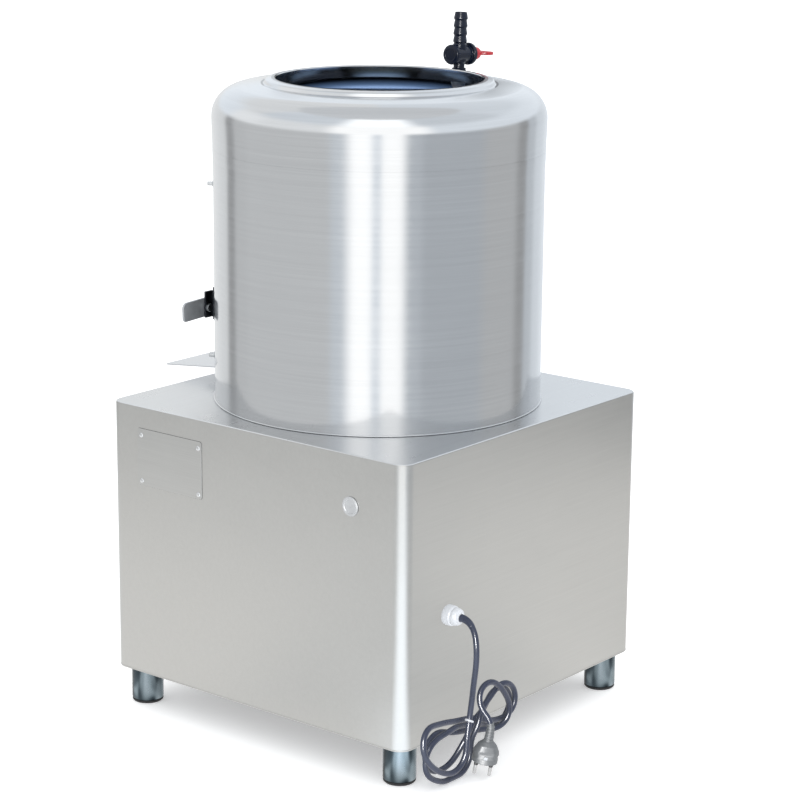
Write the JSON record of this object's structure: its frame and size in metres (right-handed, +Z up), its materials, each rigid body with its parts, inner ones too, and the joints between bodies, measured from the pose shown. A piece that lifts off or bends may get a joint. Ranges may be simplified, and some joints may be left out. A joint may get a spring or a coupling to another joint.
{
  "type": "electric potato peeler",
  "caption": "Drum potato peeler: square sheet cabinet on round legs, round drum with a domed top and open feed mouth, hinged discharge door with chute, water valve on top, mains lead.",
  "frame": {"origin": "on the floor, at the centre of the box round everything except the mains lead, its hank and plug", "axes": "+Z up; -Y towards the operator, with the discharge door, chute and buttons; +Y the back face with the mains lead; +X the side with the blank plate; -X the side with the drain pipe"},
  "size_m": [0.5358, 0.6254, 0.9158],
  "materials": {
    "satin_steel": "satin brushed stainless sheet",
    "polished_steel": "fine polished stainless sheet",
    "leg_chrome": "bright tube that mirrors a dark floor",
    "zinc_steel": "zinc plated",
    "frame_paint": "dark grey paint",
    "motor_paint": "blue painted casing",
    "cast_iron": "as cast",
    "bearing_steel": "ground steel",
    "abrasive": "coarse grit in resin",
    "disc_grit": "cast plate under coarse dark grit",
    "black_rubber": "matt",
    "grey_rubber": "matt moulding",
    "navy_plastic": "glossy moulding",
    "red_plastic": "glossy moulding",
    "green_plastic": "glossy moulding",
    "white_plastic": "plain moulding",
    "cord_pvc": "soft grey sheath",
    "panel_plastic": "fine texture",
    "plain_plastic": "plain moulding"
  },
  "bodies": {
    "machine": {"base_cabinet": "satin_steel", "discharge_chute": "satin_steel", "hinge_bracket_lower": "satin_steel", "hinge_bracket_upper": "satin_steel", "drum_shell": "polished_steel", "drum_dome": "polished_steel", "drum_pan": "polished_steel", "rating_plate": "polished_steel", "plate_rivet_1": "polished_steel", "plate_rivet_2": "polished_steel", "plate_rivet_3": "polished_steel", "plate_rivet_4": "polished_steel", "leg_front_left": "leg_chrome", "leg_front_right": "leg_chrome", "leg_rear_left": "leg_chrome", "leg_rear_right": "leg_chrome", "door_bolt_lower": "zinc_steel", "door_bolt_upper": "zinc_steel", "hinge_pin": "zinc_steel", "latch_bracket": "zinc_steel", "latch_stud": "zinc_steel", "base_frame": "frame_paint", "motor_plate": "frame_paint", "motor_body": "motor_paint", "bearing_housing": "cast_iron", "upper_bearing": "bearing_steel", "lower_bearing": "bearing_steel", "plug_pin_near": "bearing_steel", "plug_pin_far": "bearing_steel", "drum_liner": "abrasive", "foot_cap_front_left": "black_rubber", "foot_cap_front_right": "black_rubber", "foot_cap_rear_left": "black_rubber", "foot_cap_rear_right": "black_rubber", "drive_belt": "black_rubber", "shaft_seal": "black_rubber", "power_plug": "grey_rubber", "valve_body": "navy_plastic", "valve_cap": "navy_plastic", "cable_gland": "white_plastic", "cord_tie": "white_plastic", "spray_nozzle": "white_plastic", "power_cord": "cord_pvc", "cord_hank": "cord_pvc", "switch_panel": "panel_plastic", "drain_pipe": "plain_plastic", "hole_plug": "plain_plastic"},
    "disc": {"abrasive_disc": "disc_grit", "main_shaft": "bearing_steel", "drive_pulley": "cast_iron", "disc_nut": "bearing_steel"},
    "motor_rotor": {"motor_shaft": "bearing_steel", "motor_pulley": "cast_iron"},
    "door": {"discharge_door": "polished_steel", "door_seal": "black_rubber"},
    "latch": {"latch_lever": "zinc_steel"},
    "valve_plug": {"valve_ball": "bearing_steel", "valve_handle": "red_plastic"},
    "start": {"start_button": "green_plastic"},
    "stop": {"stop_button": "red_plastic"}
  },
  "joints": [
    {"name": "disc_spin", "type": "hinge", "parent": "machine", "child": "disc", "pos_m": [0.0136, 0.01965, 0.431], "axis": [0, 0, 1], "continuous": true},
    {"name": "motor_spin", "type": "hinge", "parent": "machine", "child": "motor_rotor", "pos_m": [0.0136, 0.17965, 0.11], "axis": [0, 0, 1], "continuous": true},
    {"name": "door_swing", "type": "hinge", "parent": "machine", "child": "door", "pos_m": [-0.0881, -0.18445, 0.5435], "axis": [0, 0, -1], "range_deg": [0, 115]},
    {"name": "latch_turn", "type": "hinge", "parent": "machine", "child": "latch", "pos_m": [0.1081, -0.2047, 0.525], "axis": [0, -1, 0], "range_deg": [0, 180]},
    {"name": "valve_turn", "type": "hinge", "parent": "machine", "child": "valve_plug", "pos_m": [-0.16747, 0.00965, 0.85907], "axis": [0.999, 0, 0.0436], "range_deg": [0, 90]},
    {"name": "start_press", "type": "slide", "parent": "machine", "child": "start", "axis": [0, 1, 0], "range_m": [0, 0.003], "stiffness_N_per_m": 400},
    {"name": "stop_press", "type": "slide", "parent": "machine", "child": "stop", "axis": [0, 1, 0], "range_m": [0, 0.003], "stiffness_N_per_m": 400}
  ],
  "couplings": [
    {"joint": "motor_spin", "follows": "disc_spin", "ratio": 4.614}
  ]
}
